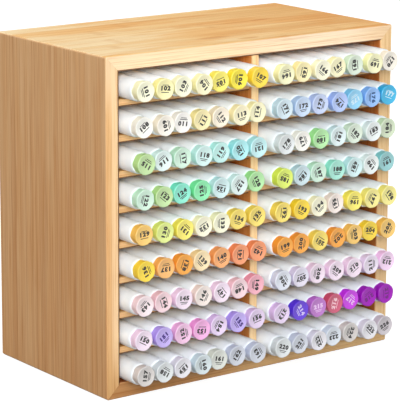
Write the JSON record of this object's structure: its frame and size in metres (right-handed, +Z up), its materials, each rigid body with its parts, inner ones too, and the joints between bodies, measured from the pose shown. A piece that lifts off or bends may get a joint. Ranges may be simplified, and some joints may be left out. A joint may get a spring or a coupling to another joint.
{
  "type": "marker organizer",
  "caption": "Bamboo desk rack with a mitred case, a centre divider and open shelves, holding rows of alcohol markers that slide out, coloured ends forward.",
  "frame": {"origin": "middle of the flat underside of the bamboo case", "axes": "+Z up; -Y is the open front that the markers face; +X runs along the front, to the right as seen from the front"},
  "size_m": [0.2556, 0.1608, 0.242],
  "materials": {
    "bamboo_case": "laminated bamboo strips, sanded smooth with a thin satin varnish",
    "bamboo_shelf": "thin bamboo strip board, satin varnish",
    "bamboo_back": "thin bamboo strip board, satin varnish",
    "white_plastic": "smooth white moulded plastic, soft gloss",
    "pale_lemon_plugs": "moulded plastic in the ink's colour, satin, a row of close shades",
    "ivory_plugs": "moulded plastic in the ink's colour, satin, a row of close shades",
    "mint_plugs": "moulded plastic in the ink's colour, satin, a row of close shades",
    "aqua_green_plugs": "moulded plastic in the ink's colour, satin, a row of close shades",
    "lemon_yellow_plugs": "moulded plastic in the ink's colour, satin, a row of close shades",
    "light_orange_plugs": "moulded plastic in the ink's colour, satin, a row of close shades",
    "pale_pink_plugs": "moulded plastic in the ink's colour, satin, a row of close shades",
    "pale_lilac_plugs": "moulded plastic in the ink's colour, satin, a row of close shades",
    "warm_grey_plugs": "moulded plastic in the ink's colour, satin, a row of close shades",
    "cream_plugs": "moulded plastic in the ink's colour, satin, a row of close shades",
    "sky_blue_plugs": "moulded plastic in the ink's colour, satin, a row of close shades",
    "sage_plugs": "moulded plastic in the ink's colour, satin, a row of close shades",
    "turquoise_plugs": "moulded plastic in the ink's colour, satin, a row of close shades",
    "golden_yellow_plugs": "moulded plastic in the ink's colour, satin, a row of close shades",
    "orange_plugs": "moulded plastic in the ink's colour, satin, a row of close shades",
    "pale_lavender_plugs": "moulded plastic in the ink's colour, satin, a row of close shades",
    "purple_plugs": "moulded plastic in the ink's colour, satin, a row of close shades",
    "cool_grey_plugs": "moulded plastic in the ink's colour, satin, a row of close shades"
  },
  "bodies": {
    "rack": {"top_panel": "bamboo_case", "bottom_panel": "bamboo_case", "left_side_panel": "bamboo_case", "right_side_panel": "bamboo_case", "mitre_splines": "bamboo_case", "back_panel": "bamboo_back", "centre_divider": "bamboo_shelf", "shelf_left_1": "bamboo_shelf", "shelf_left_2": "bamboo_shelf", "shelf_left_3": "bamboo_shelf", "shelf_left_4": "bamboo_shelf", "shelf_left_5": "bamboo_shelf", "shelf_left_6": "bamboo_shelf", "shelf_left_7": "bamboo_shelf", "shelf_left_8": "bamboo_shelf", "shelf_right_1": "bamboo_shelf", "shelf_right_2": "bamboo_shelf", "shelf_right_3": "bamboo_shelf", "shelf_right_4": "bamboo_shelf", "shelf_right_5": "bamboo_shelf", "shelf_right_6": "bamboo_shelf", "shelf_right_7": "bamboo_shelf", "shelf_right_8": "bamboo_shelf"},
    "left_row_1": {"markers_left_1": "white_plastic", "marker_plugs_left_1": "pale_lemon_plugs"},
    "left_row_2": {"markers_left_2": "white_plastic", "marker_plugs_left_2": "ivory_plugs"},
    "left_row_3": {"markers_left_3": "white_plastic", "marker_plugs_left_3": "mint_plugs"},
    "left_row_4": {"markers_left_4": "white_plastic", "marker_plugs_left_4": "aqua_green_plugs"},
    "left_row_5": {"markers_left_5": "white_plastic", "marker_plugs_left_5": "lemon_yellow_plugs"},
    "left_row_6": {"markers_left_6": "white_plastic", "marker_plugs_left_6": "light_orange_plugs"},
    "left_row_7": {"markers_left_7": "white_plastic", "marker_plugs_left_7": "pale_pink_plugs"},
    "left_row_8": {"markers_left_8": "white_plastic", "marker_plugs_left_8": "pale_lilac_plugs"},
    "left_row_9": {"markers_left_9": "white_plastic", "marker_plugs_left_9": "warm_grey_plugs"},
    "right_row_1": {"markers_right_1": "white_plastic", "marker_plugs_right_1": "cream_plugs"},
    "right_row_2": {"markers_right_2": "white_plastic", "marker_plugs_right_2": "sky_blue_plugs"},
    "right_row_3": {"markers_right_3": "white_plastic", "marker_plugs_right_3": "sage_plugs"},
    "right_row_4": {"markers_right_4": "white_plastic", "marker_plugs_right_4": "turquoise_plugs"},
    "right_row_5": {"markers_right_5": "white_plastic", "marker_plugs_right_5": "golden_yellow_plugs"},
    "right_row_6": {"markers_right_6": "white_plastic", "marker_plugs_right_6": "orange_plugs"},
    "right_row_7": {"markers_right_7": "white_plastic", "marker_plugs_right_7": "pale_lavender_plugs"},
    "right_row_8": {"markers_right_8": "white_plastic", "marker_plugs_right_8": "purple_plugs"},
    "right_row_9": {"markers_right_9": "white_plastic", "marker_plugs_right_9": "cool_grey_plugs"}
  },
  "joints": [
    {"name": "left_row_1_slide", "type": "slide", "parent": "rack", "child": "left_row_1", "axis": [0, -1, 0], "range_m": [0, 0.15]},
    {"name": "left_row_2_slide", "type": "slide", "parent": "rack", "child": "left_row_2", "axis": [0, -1, 0], "range_m": [0, 0.15]},
    {"name": "left_row_3_slide", "type": "slide", "parent": "rack", "child": "left_row_3", "axis": [0, -1, 0], "range_m": [0, 0.15]},
    {"name": "left_row_4_slide", "type": "slide", "parent": "rack", "child": "left_row_4", "axis": [0, -1, 0], "range_m": [0, 0.15]},
    {"name": "left_row_5_slide", "type": "slide", "parent": "rack", "child": "left_row_5", "axis": [0, -1, 0], "range_m": [0, 0.15]},
    {"name": "left_row_6_slide", "type": "slide", "parent": "rack", "child": "left_row_6", "axis": [0, -1, 0], "range_m": [0, 0.15]},
    {"name": "left_row_7_slide", "type": "slide", "parent": "rack", "child": "left_row_7", "axis": [0, -1, 0], "range_m": [0, 0.15]},
    {"name": "left_row_8_slide", "type": "slide", "parent": "rack", "child": "left_row_8", "axis": [0, -1, 0], "range_m": [0, 0.15]},
    {"name": "left_row_9_slide", "type": "slide", "parent": "rack", "child": "left_row_9", "axis": [0, -1, 0], "range_m": [0, 0.15]},
    {"name": "right_row_1_slide", "type": "slide", "parent": "rack", "child": "right_row_1", "axis": [0, -1, 0], "range_m": [0, 0.15]},
    {"name": "right_row_2_slide", "type": "slide", "parent": "rack", "child": "right_row_2", "axis": [0, -1, 0], "range_m": [0, 0.15]},
    {"name": "right_row_3_slide", "type": "slide", "parent": "rack", "child": "right_row_3", "axis": [0, -1, 0], "range_m": [0, 0.15]},
    {"name": "right_row_4_slide", "type": "slide", "parent": "rack", "child": "right_row_4", "axis": [0, -1, 0], "range_m": [0, 0.15]},
    {"name": "right_row_5_slide", "type": "slide", "parent": "rack", "child": "right_row_5", "axis": [0, -1, 0], "range_m": [0, 0.15]},
    {"name": "right_row_6_slide", "type": "slide", "parent": "rack", "child": "right_row_6", "axis": [0, -1, 0], "range_m": [0, 0.15]},
    {"name": "right_row_7_slide", "type": "slide", "parent": "rack", "child": "right_row_7", "axis": [0, -1, 0], "range_m": [0, 0.15]},
    {"name": "right_row_8_slide", "type": "slide", "parent": "rack", "child": "right_row_8", "axis": [0, -1, 0], "range_m": [0, 0.15]},
    {"name": "right_row_9_slide", "type": "slide", "parent": "rack", "child": "right_row_9", "axis": [0, -1, 0], "range_m": [0, 0.15]}
  ]
}
